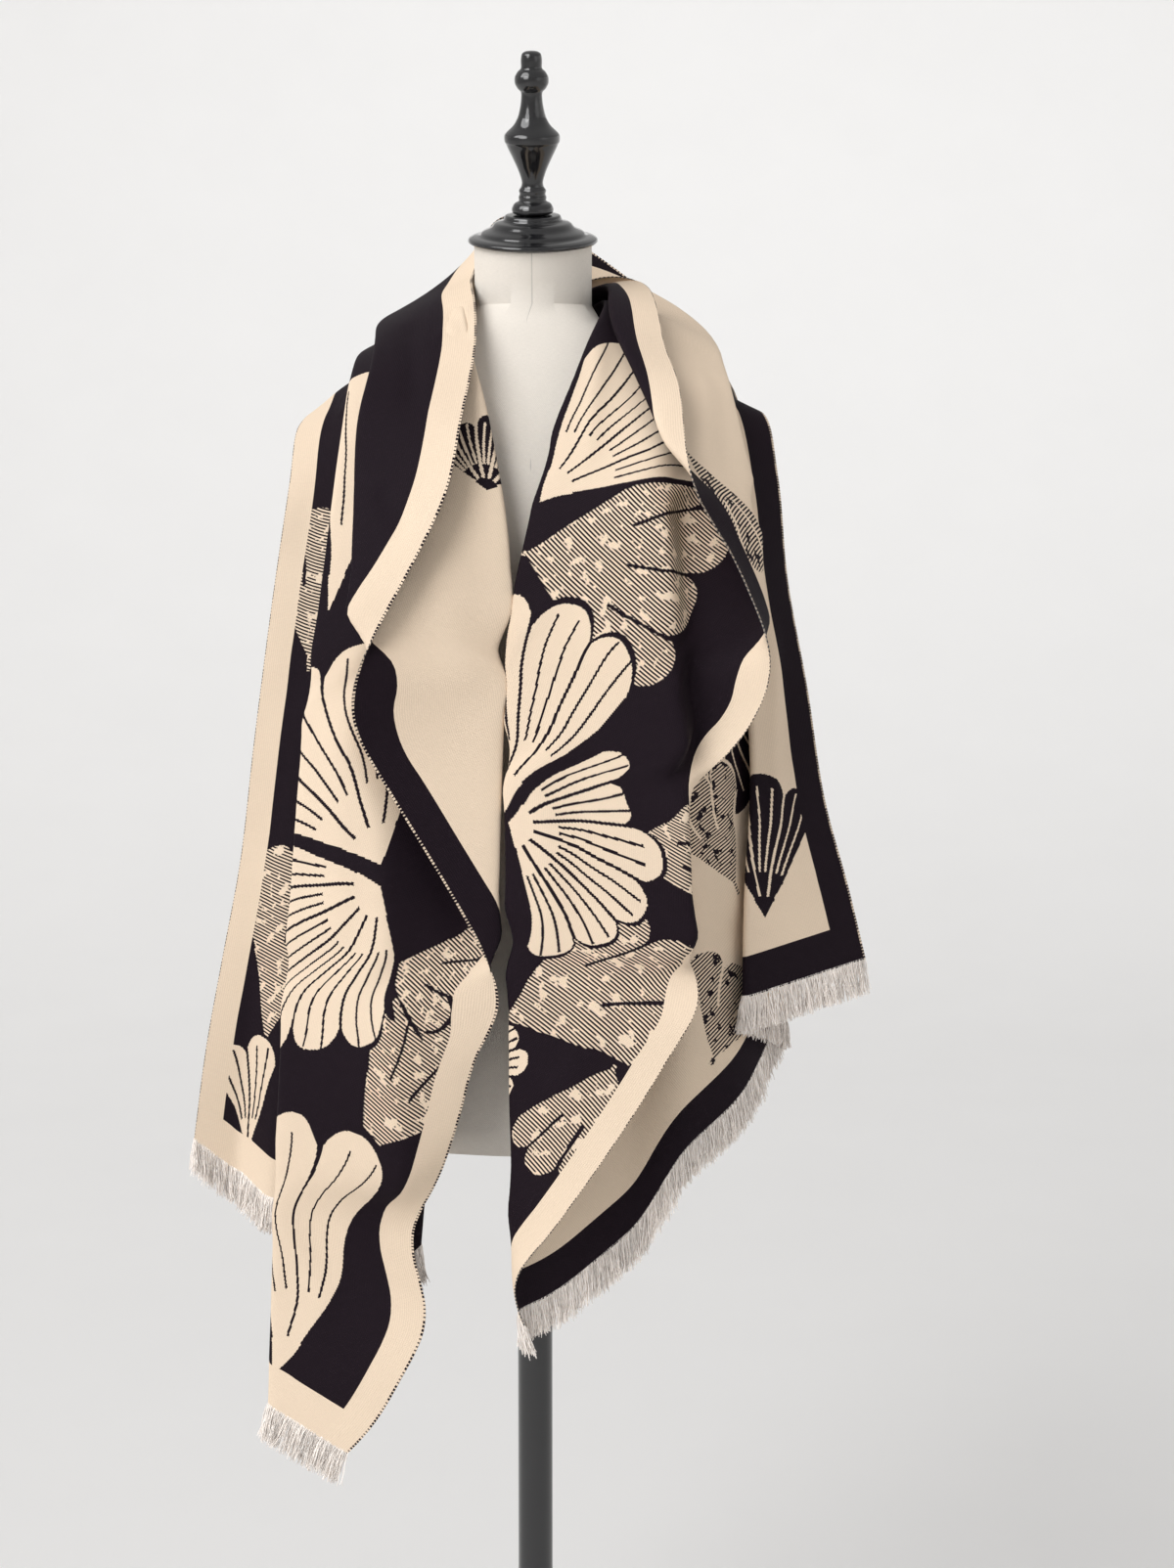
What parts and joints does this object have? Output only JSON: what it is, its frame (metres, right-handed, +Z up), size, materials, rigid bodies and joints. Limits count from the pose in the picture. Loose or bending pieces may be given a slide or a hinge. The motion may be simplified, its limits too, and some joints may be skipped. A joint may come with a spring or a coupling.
{
  "type": "blanket scarf on a dress form",
  "caption": "Fringed blanket scarf of double-faced woven cloth, draped in folds over a limbless dress form on a pole stand.",
  "frame": {"origin": "middle of the base's underside, on the floor", "axes": "+Z up, the dress form faces -Y, +X is the form's own left side"},
  "size_m": [0.5657, 0.3573, 1.6061],
  "materials": {
    "cloth": "soft double-faced woven jacquard, dark on one face and cream on the other",
    "yarn": "fine silky yarn ends",
    "linen": "natural linen, plain weave",
    "lacquer": "turned wood, gloss black lacquer"
  },
  "bodies": {
    "root": {"scarf_front_long": "cloth", "scarf_neck_twist": "cloth", "scarf_front_short": "cloth", "fringe_long": "yarn", "fringe_short": "yarn", "form_torso": "linen", "neck_cap": "lacquer", "finial": "lacquer", "pole": "lacquer", "base": "lacquer"}
  },
  "joints": []
}
